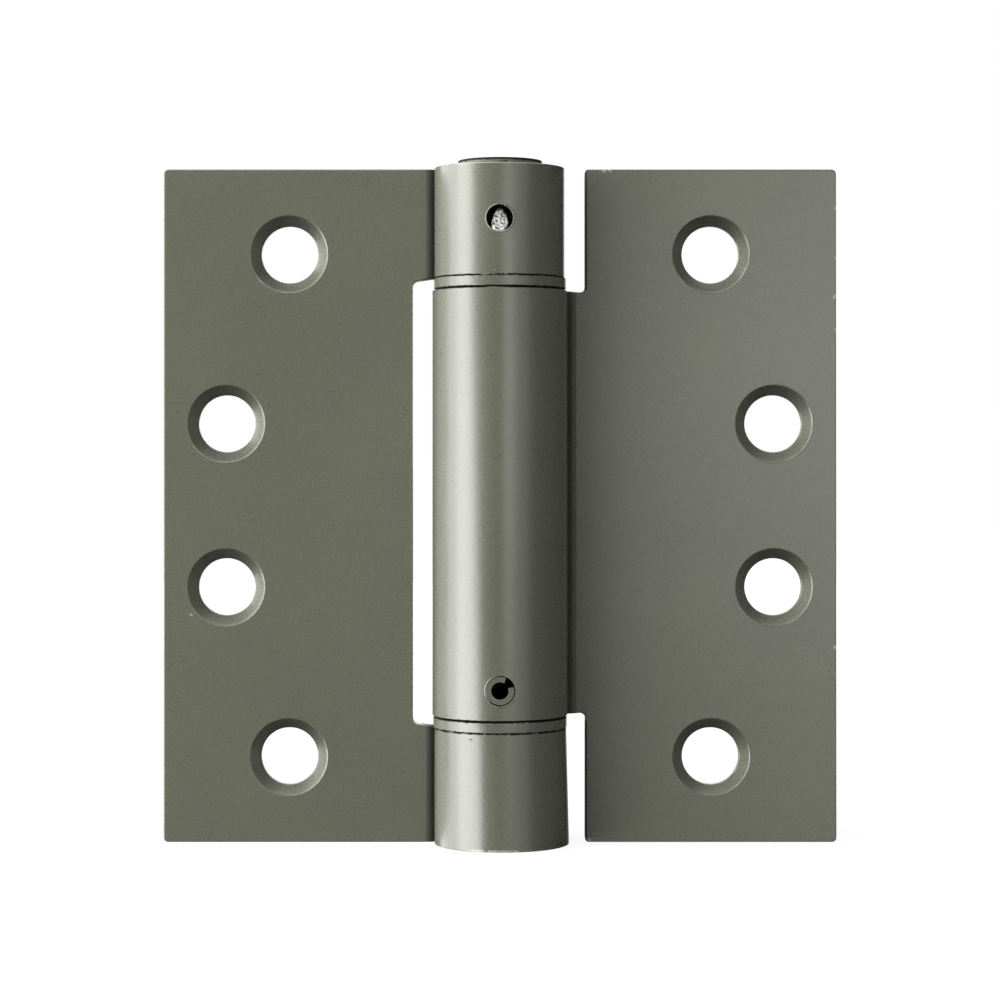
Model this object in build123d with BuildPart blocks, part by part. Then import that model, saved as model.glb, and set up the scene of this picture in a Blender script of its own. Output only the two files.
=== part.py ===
from build123d import *
import os
from math import asin, atan2, cos, degrees, radians, sin, sqrt

# Spring hinge for a door, opened out flat and standing on the lower end of its barrel.
# +Z runs up the barrel. The frame leaf reaches towards -X and the door leaf towards +X.
# The countersunk faces look towards -Y. The origin is on the barrel's axis at its lower end.
# Every size is in millimetres and every angle in degrees.

# Leaves and the sheet they are rolled from
hinge_height = 114.3
open_width = 114.3
sheet_thickness = 3.4
leaf_setback = 0.8  # the front faces lie this far behind the barrel's axis
barrel_radius = 11.1
centre_swell = 0.35  # the centre knuckle is rolled this much larger in radius
swage_radius = 6.3  # bend that takes the sheet back from leaf to knuckle, at mid-thickness
seam_gap = 0.1  # between the rolled end of the sheet and the plane of the front face
corner_radius = 0.8

# Cut-outs beside the knuckles
frame_notch_gap = 3.75  # from the barrel to the edge of the frame leaf
door_notch_gap = 3.35  # from the barrel to the edge of the door leaf
notch_corner_radius = 0.9
frame_shoulder = 0.7  # the frame leaf stands this far past the ends of its knuckles
door_shoulder = 0.25  # the door leaf stops this far short of the ends of its knuckle
shoulder_gap = 0.4  # from the barrel to the foot of the sloping shoulder

# Lengths along the barrel
bottom_knuckle_length = 19.5
top_knuckle_length = 18.5
washer_thickness = 1.7
still_joint = 0.2  # between a washer and the knuckle that it stays with
running_joint = 0.34  # between a washer and the centre knuckle

# Countersunk screw holes
screw_hole_radius = 4.9
countersink_radius = 6.55
countersink_angle = 82
screw_middle_pitch = 27.79  # between the two holes of the outer column
screw_end_pitch = 28.83  # from a hole of the outer column to the next one of the inner column
outer_column_inset = 10.6  # from the leaf's outer edge
inner_column_inset = 21.3

# Fits
fixed_fit = 0.02  # radial, between pieces of one body
running_fit = 0.05  # radial, between journal and bush
cap_fit = 0.08  # radial, between the cap and the top knuckle
free_gap = 0.3  # around what passes through without touching
end_gap = 0.2  # bushes and plug stop this far inside the knuckle ends

# Pivots
bush_wall = 1.63
bush_length = 11.0
plug_thickness = 3.0

# Tension cap
cap_head_radius = 6.95
cap_head_rise = 1.1  # above the top knuckle
cap_head_sunk = 0.4  # the head's foot lies this far below the knuckle's end
cap_chamfer = 0.4
cap_lift = 0.5  # the cap floats this far above the upper washer
socket_across_flats = 4.76
socket_depth = 7.0
pin_hole_radius = 2.25  # in the top knuckle
cap_hole_radius = 1.7
cap_hole_depth = 3.2
cap_hole_count = 8

# Spring anchor and its roll pin
anchor_length = 12.0
roll_pin_height = 5.0  # above the lower end of the centre knuckle
roll_pin_radius = 2.38
roll_pin_wall = 0.95
roll_pin_slot = 1.0
roll_pin_slot_angle = 38
roll_pin_inset = 0.2
roll_pin_length = 16.0
roll_pin_fit = 0.07
roll_pin_end_gap = 0.5  # past its inner end, in the anchor

# Torsion spring of flat wire
wire_width = 3.4  # along the axis
wire_thickness = 2.0  # across the coil
coil_gap = 0.45
coil_side_gap = 0.6  # to the bore of the centre knuckle
coil_sides = 12  # flat runs that stand for one turn
tang_bend_radius = 1.6
tang_overlap = 12  # the flat tang runs on along the coil over this angle
spring_end_gap = 0.1
spigot_gap = 0.7  # radial, between a spigot and the coil around it
spigot_length = 4.0
slot_side_gap = 0.1

# Barrel and what fills it
bore_radius = barrel_radius - sheet_thickness
bush_radius = bore_radius - fixed_fit
bush_bore = bush_radius - bush_wall
journal_radius = bush_bore - running_fit
centre_radius = barrel_radius + centre_swell
centre_bore = centre_radius - sheet_thickness
centre_fill = centre_bore - fixed_fit  # radius of what is held in the centre knuckle

# Section of a leaf
leaf_back = leaf_setback + sheet_thickness
swage_y = leaf_setback + sheet_thickness / 2 + swage_radius
seam_y = leaf_setback - seam_gap
leaf_edge = open_width / 2

# Places along the barrel
bottom_knuckle_end = bottom_knuckle_length
lower_washer_start = bottom_knuckle_end + still_joint
centre_start = lower_washer_start + washer_thickness + running_joint
top_knuckle_start = hinge_height - top_knuckle_length
upper_washer_start = top_knuckle_start - still_joint - washer_thickness
centre_end = upper_washer_start - running_joint
pin_hole_z = hinge_height - top_knuckle_length / 2
roll_pin_z = centre_start + roll_pin_height
anchor_foot = centre_start + end_gap
anchor_shoulder = anchor_foot + anchor_length
plug_top = end_gap + plug_thickness

# Coil, from the anchor's shoulder up to the foot of the upper bush
coil_radius = centre_bore - coil_side_gap - wire_thickness / 2
spigot_radius = coil_radius - wire_thickness / 2 - spigot_gap
coil_pitch = wire_width + coil_gap
tang_angle = degrees(asin(tang_bend_radius / (coil_radius - tang_bend_radius)))
tang_x = (coil_radius - tang_bend_radius) * cos(radians(tang_angle))
coil_start = anchor_shoulder + spring_end_gap + wire_width / 2
upper_bush_start = centre_end - end_gap - bush_length
coil_room = upper_bush_start - end_gap - spring_end_gap - wire_width / 2 - coil_start
part_turn = 1 - 2 * tang_angle / 360
coil_turns = int(coil_room / coil_pitch - part_turn) + part_turn
coil_end = coil_start + coil_turns * coil_pitch
coil_runs = round(coil_turns * coil_sides)
cap_shoulder = coil_end + wire_width / 2 + spring_end_gap
cap_seat = upper_washer_start + washer_thickness + cap_lift

# Cuts run this far past what they cut
cut_reach = centre_radius + 1


# One leaf: flat plate, swage bend and rolled knuckle in one strip of sheet
def leaf_section(side, knuckle_radius):
    """Section of a leaf across the barrel. side is -1 for the frame leaf and +1 for the door leaf."""
    knuckle_bore = knuckle_radius - sheet_thickness
    bend_reach = knuckle_radius - sheet_thickness / 2 + swage_radius
    swage_x = sqrt(bend_reach**2 - swage_y**2)
    swage_angle = degrees(atan2(swage_y, swage_x))
    outer_end = degrees(asin(seam_y / knuckle_radius)) + 360
    inner_end = degrees(asin(seam_y / knuckle_bore)) + 360
    with BuildSketch() as section:
        with BuildLine():
            outside = CenterArc((0, 0), knuckle_radius, swage_angle, outer_end - swage_angle)
            inside = CenterArc((0, 0), knuckle_bore, swage_angle, inner_end - swage_angle)
            Line(outside @ 1, inside @ 1)
            swage_centre = (swage_x, swage_y)
            swage_start = 180 + swage_angle
            swage_turn = 90 - swage_angle
            front = swage_radius + sheet_thickness / 2
            back = swage_radius - sheet_thickness / 2
            front_bend = CenterArc(swage_centre, front, swage_start, swage_turn)
            back_bend = CenterArc(swage_centre, back, swage_start, swage_turn)
            Polyline(front_bend @ 1, (leaf_edge, leaf_setback), (leaf_edge, leaf_back), back_bend @ 1)
        make_face()
        if side < 0:
            mirror(about=Plane.YZ, mode=Mode.REPLACE)
    return section.sketch


def screw_places(side):
    """Middles of a leaf's four screw holes, across and up its front face."""
    middle = hinge_height / 2
    outer_rise = screw_middle_pitch / 2
    inner_rise = outer_rise + screw_end_pitch
    outer_x = side * (leaf_edge - outer_column_inset)
    inner_x = side * (leaf_edge - inner_column_inset)
    outer = [(outer_x, middle + way * outer_rise) for way in (-1, 1)]
    inner = [(inner_x, middle + way * inner_rise) for way in (-1, 1)]
    return outer + inner


def leaf_corners(leaf):
    """The short edges at the free corners of a leaf, along its lower and upper ends."""
    rows = leaf.edges().filter_by(Axis.Y).group_by(Axis.Z)
    return rows[0] + rows[-1]


front_face = Plane.XZ.offset(-leaf_setback)

# Frame leaf, with the top and bottom knuckles
frame_notch_edge = -(barrel_radius + frame_notch_gap)
frame_shoulder_foot = -(barrel_radius + shoulder_gap)

with BuildPart() as frame_leaf:
    extrude(leaf_section(-1, barrel_radius), amount=hinge_height)
    with BuildSketch(Plane.XZ) as knuckle_gap:
        with BuildLine():
            Polyline(
                (frame_notch_edge, bottom_knuckle_end + frame_shoulder),
                (frame_shoulder_foot, bottom_knuckle_end),
                (cut_reach, bottom_knuckle_end),
                (cut_reach, top_knuckle_start),
                (frame_shoulder_foot, top_knuckle_start),
                (frame_notch_edge, top_knuckle_start - frame_shoulder),
                close=True,
            )
        make_face()
        fillet(knuckle_gap.vertices().group_by(Axis.X)[0], radius=notch_corner_radius)
    extrude(amount=cut_reach, both=True, mode=Mode.SUBTRACT)
    fillet(leaf_corners(frame_leaf), radius=corner_radius)
    with Locations(front_face):
        with Locations(*screw_places(-1)):
            CounterSinkHole(screw_hole_radius, countersink_radius, cut_reach, countersink_angle)
    with Locations(Plane.XZ.offset(barrel_radius)):
        with Locations((0, pin_hole_z)):
            Hole(pin_hole_radius, depth=barrel_radius)
frame_leaf.part.label = "frame_leaf"

# Door leaf, with the centre knuckle
door_notch_edge = barrel_radius + door_notch_gap
door_shoulder_foot = centre_radius + shoulder_gap


def door_notch(knuckle_end, away):
    """Cut-out past one end of the centre knuckle. away is -1 below the knuckle and +1 above it."""
    outside = knuckle_end + away * hinge_height
    with BuildSketch(Plane.XZ) as notch:
        with BuildLine():
            Polyline(
                (door_notch_edge, outside),
                (door_notch_edge, knuckle_end - away * door_shoulder),
                (door_shoulder_foot, knuckle_end),
                (-cut_reach, knuckle_end),
                (-cut_reach, outside),
                close=True,
            )
        make_face()
        corners = notch.vertices().group_by(Axis.X)[-1].sort_by(Axis.Y)
        fillet(corners[-1] if away < 0 else corners[0], radius=notch_corner_radius)
    return notch.sketch


with BuildPart() as door_leaf:
    extrude(leaf_section(1, centre_radius), amount=hinge_height)
    extrude(door_notch(centre_start, -1), amount=cut_reach, both=True, mode=Mode.SUBTRACT)
    extrude(door_notch(centre_end, 1), amount=cut_reach, both=True, mode=Mode.SUBTRACT)
    fillet(leaf_corners(door_leaf), radius=corner_radius)
    with Locations(front_face):
        with Locations(*screw_places(1)):
            CounterSinkHole(screw_hole_radius, countersink_radius, cut_reach, countersink_angle)
    with Locations(Plane.XZ.offset(centre_radius)):
        with Locations((0, roll_pin_z)):
            Hole(roll_pin_radius + roll_pin_fit, depth=centre_radius)
door_leaf.part.label = "door_leaf"


# Washers and bushes around the barrel's axis
def ring(name, start, length, outer_radius, inner_radius):
    """A plain ring from start upwards."""
    with BuildPart() as piece:
        with BuildSketch(Plane.XY.offset(start)):
            Circle(outer_radius)
            Circle(inner_radius, mode=Mode.SUBTRACT)
        extrude(amount=length)
    piece.part.label = name
    return piece


washer_bore = journal_radius + free_gap
lower_bush_length = bottom_knuckle_end - end_gap - plug_top

lower_thrust_washer = ring(
    "lower_thrust_washer", lower_washer_start, washer_thickness, barrel_radius, washer_bore
)
upper_thrust_washer = ring(
    "upper_thrust_washer", upper_washer_start, washer_thickness, barrel_radius, washer_bore
)
lower_bush = ring("lower_bush", plug_top, lower_bush_length, bush_radius, bush_bore)
upper_bush = ring("upper_bush", upper_bush_start, bush_length, centre_fill, bush_bore)

# Plug that closes the bottom knuckle
with BuildPart() as bottom_plug:
    with BuildSketch(Plane.XY.offset(end_gap)):
        Circle(bush_radius)
    extrude(amount=plug_thickness)
bottom_plug.part.label = "bottom_plug"


# Slot across a spigot, which holds the tang of the spring
def tang_slot(level):
    """Outline of the slot at one level, along X through the axis."""
    with BuildSketch(Plane.XY.offset(level)) as slot:
        Rectangle(2 * cut_reach, wire_thickness + 2 * slot_side_gap)
    return slot.sketch


# Spring anchor: plug in the centre knuckle, with the lower journal under it
with BuildPart() as spring_anchor:
    with BuildSketch(Plane.XZ):
        with BuildLine():
            Polyline(
                (0, plug_top + end_gap),
                (journal_radius, plug_top + end_gap),
                (journal_radius, anchor_foot),
                (centre_fill, anchor_foot),
                (centre_fill, anchor_shoulder),
                (spigot_radius, anchor_shoulder),
                (spigot_radius, anchor_shoulder + spigot_length),
                (0, anchor_shoulder + spigot_length),
                close=True,
            )
        make_face()
    revolve(axis=Axis.Z)
    extrude(tang_slot(anchor_shoulder), amount=spigot_length, mode=Mode.SUBTRACT)
    with Locations(Plane.XZ.offset(centre_radius)):
        with Locations((0, roll_pin_z)):
            Hole(roll_pin_radius + roll_pin_fit, depth=roll_pin_inset + roll_pin_length + roll_pin_end_gap)
spring_anchor.part.label = "spring_anchor"

# Roll pin: a rolled and slotted tube, driven in from the front
with BuildPart() as roll_pin:
    with BuildSketch(Plane.XZ.offset(centre_radius - roll_pin_inset)) as pin_section:
        with Locations((0, roll_pin_z)):
            Circle(roll_pin_radius)
            Circle(roll_pin_radius - roll_pin_wall, mode=Mode.SUBTRACT)
            Rectangle(
                2 * roll_pin_radius,
                roll_pin_slot,
                rotation=roll_pin_slot_angle,
                align=(Align.MIN, Align.CENTER),
                mode=Mode.SUBTRACT,
            )
    extrude(amount=-roll_pin_length)
roll_pin.part.label = "roll_pin"

# Tension cap: hexagon socket on top, ring of pin holes, upper journal and slotted spigot
cap_radius = bore_radius - cap_fit
cap_top = hinge_height + cap_head_rise
cap_hole_z = pin_hole_z + cap_lift
cap_hole_step = 360 / cap_hole_count


def cap_hole_place(number):
    """Plane on the cap's wall that looks out along one pin hole. The holes straddle the front."""
    angle = radians(-90 + (number + 0.5) * cap_hole_step)
    outward = (cos(angle), sin(angle), 0)
    return Plane(origin=(cap_radius * cos(angle), cap_radius * sin(angle), cap_hole_z), z_dir=outward)


with BuildPart() as tension_cap:
    with BuildSketch(Plane.XZ):
        with BuildLine():
            Polyline(
                (0, cap_shoulder - spigot_length),
                (spigot_radius, cap_shoulder - spigot_length),
                (spigot_radius, cap_shoulder),
                (journal_radius, cap_shoulder),
                (journal_radius, cap_seat),
                (cap_radius, cap_seat),
                (cap_radius, hinge_height - cap_head_sunk),
                (cap_head_radius, hinge_height - cap_head_sunk),
                (cap_head_radius, cap_top - cap_chamfer),
                (cap_head_radius - cap_chamfer, cap_top),
                (0, cap_top),
                close=True,
            )
        make_face()
    revolve(axis=Axis.Z)
    with BuildSketch(Plane.XY.offset(cap_top)):
        RegularPolygon(socket_across_flats / 2, side_count=6, major_radius=False)
    extrude(amount=-socket_depth, mode=Mode.SUBTRACT)
    extrude(tang_slot(cap_shoulder), amount=-spigot_length, mode=Mode.SUBTRACT)
    with Locations(*[cap_hole_place(number) for number in range(cap_hole_count)]):
        Hole(cap_hole_radius, depth=cap_hole_depth)
tension_cap.part.label = "tension_cap"


# Torsion spring, wound left-handed so that opening the door winds it up
def tang_section(level, side):
    """A tang across the axis with its bend out to the coil. side is -1 at the lower end, +1 at the upper."""
    with BuildSketch(Plane.XY.offset(level - wire_width / 2)) as tang:
        with BuildLine():
            Line((-tang_x, 0), (tang_x, 0))
            bend_centre = (tang_x, side * tang_bend_radius)
            CenterArc(bend_centre, tang_bend_radius, -side * 90, side * (90 + tang_angle))
            CenterArc((0, 0), coil_radius, side * tang_angle, side * tang_overlap)
        trace(line_width=wire_thickness)
    return tang.sketch


def wire_corner(turn, out, up):
    """A corner of the wire's section after some turns. out and up are -1 or +1."""
    angle = radians(-tang_angle - 360 * turn)
    radius = coil_radius + out * wire_thickness / 2
    height = coil_start + turn * coil_pitch + up * wire_width / 2
    return Vector(radius * cos(angle), radius * sin(angle), height)


def facet(*corners):
    """A flat face between corners given in order."""
    return Face(Wire.make_polygon(corners, close=True))


def wire_end(turn):
    """The square end of the coil after some turns."""
    corners = [(-1, -1), (1, -1), (1, 1), (-1, 1)]
    return facet(*[wire_corner(turn, out, up) for out, up in corners])


def wire_run(near, far):
    """The sides of one flat run between two turns, with the twisted ones folded into two."""
    faces = []
    for side in (-1, 1):
        low_near, low_far = wire_corner(near, side, -1), wire_corner(far, side, -1)
        high_near, high_far = wire_corner(near, side, 1), wire_corner(far, side, 1)
        faces.append(facet(low_near, high_near, high_far, low_far))
        inner_near, inner_far = wire_corner(near, -1, side), wire_corner(far, -1, side)
        outer_near, outer_far = wire_corner(near, 1, side), wire_corner(far, 1, side)
        faces.append(facet(inner_near, outer_near, outer_far))
        faces.append(facet(inner_near, outer_far, inner_far))
    return faces


def coil():
    """The turns between the two tangs, as one closed shell of flat runs."""
    run = coil_turns / coil_runs
    faces = [wire_end(0), wire_end(coil_turns)]
    for number in range(coil_runs):
        faces += wire_run(number * run, (number + 1) * run)
    return Solid(Shell(faces))


with BuildPart() as torsion_spring:
    add(coil())
    extrude(tang_section(coil_start, -1), amount=wire_width)
    extrude(tang_section(coil_end, 1), amount=wire_width)
torsion_spring.part.label = "torsion_spring"

# One STEP file for each piece
pieces = [
    frame_leaf,
    door_leaf,
    lower_thrust_washer,
    upper_thrust_washer,
    lower_bush,
    upper_bush,
    bottom_plug,
    spring_anchor,
    roll_pin,
    tension_cap,
    torsion_spring,
]
os.makedirs("parts", exist_ok=True)
for piece in pieces:
    export_step(piece.part, f"parts/{piece.part.label}.step")
    print(piece.part.label, round(piece.part.volume, 2), len(piece.part.solids()))
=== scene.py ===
from math import acos, asin, atan2, cos, degrees, exp, pi, radians, sin, sqrt, tan
from random import Random

import bmesh
import bpy
from mathutils import Matrix, Vector

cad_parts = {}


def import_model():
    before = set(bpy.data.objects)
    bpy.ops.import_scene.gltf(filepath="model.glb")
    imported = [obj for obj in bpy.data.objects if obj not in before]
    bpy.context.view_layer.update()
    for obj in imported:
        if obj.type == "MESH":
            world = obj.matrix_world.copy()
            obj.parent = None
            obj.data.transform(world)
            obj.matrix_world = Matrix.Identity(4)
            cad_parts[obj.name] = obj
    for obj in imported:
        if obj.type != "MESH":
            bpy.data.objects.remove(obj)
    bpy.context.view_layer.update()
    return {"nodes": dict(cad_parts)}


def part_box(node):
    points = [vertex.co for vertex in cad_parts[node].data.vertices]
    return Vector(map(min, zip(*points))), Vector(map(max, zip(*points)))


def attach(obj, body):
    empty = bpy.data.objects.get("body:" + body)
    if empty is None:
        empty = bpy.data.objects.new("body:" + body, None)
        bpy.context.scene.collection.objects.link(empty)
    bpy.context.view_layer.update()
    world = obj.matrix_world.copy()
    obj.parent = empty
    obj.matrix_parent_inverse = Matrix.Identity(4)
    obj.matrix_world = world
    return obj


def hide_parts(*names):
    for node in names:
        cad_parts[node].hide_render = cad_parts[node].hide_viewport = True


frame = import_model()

# Spring hinge, opened out flat. Pieces are built in millimetres in the frame's axes, then scaled to metres.
MM = 0.001


def extent(node, axis):
    """Lowest and highest value of a CAD node along one axis, in millimetres."""
    low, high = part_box(node)
    return low[axis] / MM, high[axis] / MM


X, Y, Z = 0, 1, 2

# Sizes of the hinge that the frame gives
hinge_height = extent("frame_leaf", Z)[1]
leaf_edge = extent("door_leaf", X)[1]
barrel_radius = extent("lower_thrust_washer", X)[1]
centre_radius = -extent("door_leaf", Y)[0]
cap_top = extent("tension_cap", Z)[1]
cap_foot = extent("tension_cap", Z)[0]
pin_middle = sum(extent("roll_pin", Z)) / 2
pin_front, pin_end = extent("roll_pin", Y)

# Sizes of the hinge that repeat the solids
sheet_thickness = 3.4
leaf_setback = 0.8
bend_radius = 1.7  # of the front face, where the sheet turns back to its knuckle
bend_start = 1.6  # from the knuckle
seam_gap = 0.1
corner_radius = 0.8
frame_notch_gap = 3.75
door_notch_gap = 3.35
notch_corner_radius = 0.9
door_corner_radius = 0.6  # of the door leaf's corners beside the barrel
frame_shoulder = 0.7
door_shoulder = 0.25
shoulder_gap = 0.4
bottom_knuckle_length = 19.5
top_knuckle_length = 18.5
washer_thickness = 1.7
still_joint = 0.2
running_joint = 0.34
screw_hole_radius = 4.84
countersink_radius = 6.45
countersink_angle = 82
screw_middle_pitch = 27.79
screw_end_pitch = 28.83
outer_column_inset = 10.6
inner_column_inset = 21.3
pin_hole_radius = 2.25
roll_pin_radius = 2.38
roll_pin_wall = 0.95
roll_pin_slot = 2.0  # at the outside of the rolled tube
roll_pin_neck = 0.95  # and at its bore
roll_pin_slot_angle = 40
roll_pin_fit = 0.15
journal_radius = 6.0
cap_head_radius = 6.95
cap_fit = 0.08
cap_head_sunk = 0.4
cap_chamfer = 0.12
cap_lift = 0.5
cap_hole_radius = 1.7
cap_hole_depth = 3.2
cap_hole_count = 8
socket_across_flats = 4.76
socket_depth = 7.0
spigot_radius = 4.75
spigot_length = 4.0
wire_thickness = 2.0
slot_side_gap = 0.1
washer_bore_gap = 0.3

# Worked out from them
bore_radius = barrel_radius - sheet_thickness
leaf_back = leaf_setback + sheet_thickness
seam_y = leaf_setback - seam_gap
bottom_knuckle_end = bottom_knuckle_length
lower_washer_start = bottom_knuckle_end + still_joint
centre_foot = lower_washer_start + washer_thickness + running_joint
top_knuckle_start = hinge_height - top_knuckle_length
upper_washer_start = top_knuckle_start - still_joint - washer_thickness
centre_end = upper_washer_start - running_joint
pin_hole_z = hinge_height - top_knuckle_length / 2
middle = hinge_height / 2
upper_joint = top_knuckle_start - still_joint / 2
lower_joint = bottom_knuckle_end + still_joint / 2
overcut = 1
beyond = centre_radius + overcut  # cutters run this far out

# Finish of the edges
leaf_break = 0.3
knuckle_break = 0.12
hole_break = 0.26
turned_break = 0.1
barrel_steps = 192
hole_steps = 96
bend_steps = 16
pin_steps = 80
pin_bore_steps = 64
drill_steps = 48
lip_steps = 56

# Beads of paint
bead_step = 0.25
least_bead_steps = 4
bead_end = 0.25  # share of a bead's radius that its ends keep
crumb_places = (-0.93, 0.9)  # shares of the barrel's radius
crumb_lengths = (0.15, 0.55)
crumb_thickness = (0.7, 1.2)  # shares of a crumb's size
screw_lip_gap = 0.18  # outside the countersink
screw_lip_depth = 0.1
screw_lip_thickness = 0.17
screw_lip_start = 205
screw_lip_span = 100

# Coat and hand-work that the photo shows on top of the solids
paint_film = 0.16
washer_coats = {"lower_thrust_washer": 0.2, "upper_thrust_washer": 0.1}
top_roll_swell = -0.16  # the top knuckle is rolled this much tighter on the right
bottom_roll_swell = 0.12  # the bottom knuckle is rolled this much wider to the right
roll_flare = 0.5  # and this much more at its lower end
flare_height = 2.5
torn_slant = 0.11  # radians, of the torn lands between the cap's pin holes
# the land's bright dome; outside it the wall is painted black as the pin holes' shade
torn_height = 4.15
torn_half_width = 1.5

# Dirt, wear, painted shade and painted highlights. A pair gives, in millimetres, where a mark begins and
# where it is full.
joint_raggedness = 0.08
# the dark joints: dirt in the joints, with painted shade on the rounded edges beside them
joint_dirt_and_shade_ends = (0.04, -0.04)  # past a dark joint's edge
joint_side = (-0.5, -0.7)  # past the cutters' reach
# painted shade on the deep walls of the knuckles' holes
hole_shade_reach = (0.16, 0.1)  # past a hole's wall
hole_shade_depth = (0.55, 0.9)  # behind the barrel's front
# painted shade beside the barrel on the left leaf, darkest in the crevice
groove_shade_ends = (2.7, 1.2)  # beside the barrel, as far as groove_share
groove_easing = (0.9, 0.5)  # and on to crevice_share
crevice_shade_ends = (0.32, 0.14)
crevice_end = 0.05
groove_share = 0.65
crevice_share = 0.35
# painted shade along the door leaf's edges beside the barrel
notch_shade_ends = (0.45, 0.3)  # past the door leaf's edge beside the barrel
notch_shade_start = -0.15
notch_shade_foot = 0.2  # past the centre knuckle's ends
# painted shade on the countersinks' upper walls
hollow_facing = (-0.1, -0.7)  # Z of the normals on a countersink's upper wall
hollow_side = 4  # past the cutters' reach
chip_raggedness = 0.3
chip_depth = (1.2, 0.6)  # behind the leaves' front
# the foot mark is wear with a painted reflection, and the rim mark is wear with a painted highlight
foot_wear_and_reflection = (0.46, 0.3)  # above the foot
foot_mark_side = (5.6, 4.4)
rim_wear_and_highlight = (-0.2, -0.1)  # above the top
rim_mark_side = (7.4, 6.9)
rim_mark_edge = (-0.3, -0.15)  # past the barrel's radius
# the cap head's painted shade at its rim and foot, around its painted highlight band
head_rim_shade = (-0.36, -0.46)  # above the top of the cap
head_foot_shade = (-0.84, -0.74)
speck_pitch = 6.5
speck_size = (0.026, 0.014)  # as shares of the pitch
speck_share = 0.45  # of the places that stay free of specks


# Mesh helpers
def new_piece(name, mesh):
    """A linked object around a mesh."""
    piece = bpy.data.objects.new(name, mesh)
    bpy.context.scene.collection.objects.link(piece)
    return piece


def from_bmesh(name, shape):
    """An object made from a bmesh, with its normals facing out."""
    bmesh.ops.recalc_face_normals(shape, faces=shape.faces)
    mesh = bpy.data.meshes.new(name)
    shape.to_mesh(mesh)
    shape.free()
    return new_piece(name, mesh)


def prism(name, outline, place):
    """A closed prism from an outline of 2-D points. place(point, end) gives a corner at end 0 or 1."""
    shape = bmesh.new()
    rings = [[shape.verts.new(place(point, end)) for point in outline] for end in (0, 1)]
    for ring in rings:
        shape.faces.new(ring)
    count = len(outline)
    for number in range(count):
        after = (number + 1) % count
        shape.faces.new((rings[0][number], rings[0][after], rings[1][after], rings[1][number]))
    return from_bmesh(name, shape)


def upright_prism(name, outline, low, high):
    """A prism along Z from an outline in X and Y."""
    return prism(name, outline, lambda point, end: (point[0], point[1], high if end else low))


def through_prism(name, outline, front, back):
    """A prism along Y from an outline in X and Z."""
    return prism(name, outline, lambda point, end: (point[0], back if end else front, point[1]))


def lathe(name, profile, steps, closed=False):
    """Turns a profile of (radius, height) points about Z.

    A closed profile makes a ring, and an open one ends on the axis.
    """
    shape = bmesh.new()
    rings = []
    for radius, height in profile:
        if radius == 0:
            rings.append([shape.verts.new((0, 0, height))] * steps)
            continue
        turns = [2 * pi * step / steps for step in range(steps)]
        rings.append([shape.verts.new((radius * cos(turn), radius * sin(turn), height)) for turn in turns])
    pairs = list(zip(rings, rings[1:]))
    if closed:
        pairs.append((rings[-1], rings[0]))
    for low, high in pairs:
        for step in range(steps):
            after = (step + 1) % steps
            corners = [low[step], low[after], high[after], high[step]]
            unique = list(dict.fromkeys(corners))
            if len(unique) > 2:
                shape.faces.new(unique)
    return from_bmesh(name, shape)


def move(piece, matrix):
    """Moves a piece's mesh, so that its object stays at the origin."""
    piece.data.transform(matrix)
    return piece


def settle(piece):
    """Turns a piece with its modifiers into a plain mesh."""
    graph = bpy.context.evaluated_depsgraph_get()
    mesh = bpy.data.meshes.new_from_object(piece.evaluated_get(graph))
    piece.modifiers.clear()
    piece.data = mesh
    return piece


def carve(piece, cutters, operation="DIFFERENCE"):
    """Cuts each cutter out of a piece, or keeps what they share, and deletes the cutters."""
    for cutter in cutters:
        cut = piece.modifiers.new("cut", "BOOLEAN")
        cut.operation = operation
        cut.solver = "EXACT"
        cut.object = cutter
    bpy.context.view_layer.update()
    settle(piece)
    for cutter in cutters:
        bpy.data.objects.remove(cutter, do_unlink=True)
    return piece


def break_edges(piece, width_at, limit=35):
    """Rounds the edges that are sharper than limit degrees. width_at(point) gives the width, up to 1 mm."""
    shape = bmesh.new()
    shape.from_mesh(piece.data)
    weight = shape.edges.layers.float.new("bevel_weight_edge")
    for edge in shape.edges:
        if len(edge.link_faces) == 2 and edge.calc_face_angle() > radians(limit):
            edge[weight] = width_at((edge.verts[0].co + edge.verts[1].co) / 2)
    shape.to_mesh(piece.data)
    shape.free()
    bevel = piece.modifiers.new("edges", "BEVEL")
    bevel.width = 1.0
    bevel.segments = 2
    bevel.limit_method = "WEIGHT"
    bevel.use_clamp_overlap = False
    bpy.context.view_layer.update()
    return settle(piece)


def leaf_edge_width(point):
    """Rounding of a leaf's edges: less on the knuckles than on the plate."""
    return leaf_break if abs(point.x) > centre_radius + 2 * leaf_break else knuckle_break


def finish_piece(piece, body, nodes, materials, sharp=32):
    """Scales a piece to metres, shades it, and fixes it to its body in place of its CAD nodes.

    A face takes the material that its index names.
    """
    mesh = piece.data
    mesh.transform(Matrix.Scale(MM, 4))
    mesh.polygons.foreach_set("use_smooth", [True] * len(mesh.polygons))
    mesh.set_sharp_from_angle(angle=radians(sharp))
    weighted = piece.modifiers.new("normals", "WEIGHTED_NORMAL")
    weighted.keep_sharp = True
    weighted.weight = 100
    bpy.context.view_layer.update()
    settle(piece)
    mesh = piece.data
    numbers = [face.material_index for face in mesh.polygons]
    mesh.materials.clear()
    for material in materials:
        mesh.materials.append(material)
    mesh.polygons.foreach_set("material_index", numbers)
    if nodes:
        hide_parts(*nodes)
    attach(piece, body)
    return piece


def arc(centre, radius, start, turn, steps):
    """Points along an arc, both ends included. Angles are in degrees."""
    angles = [radians(start + turn * step / steps) for step in range(steps + 1)]
    return [(centre[0] + radius * cos(angle), centre[1] + radius * sin(angle)) for angle in angles]


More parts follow.
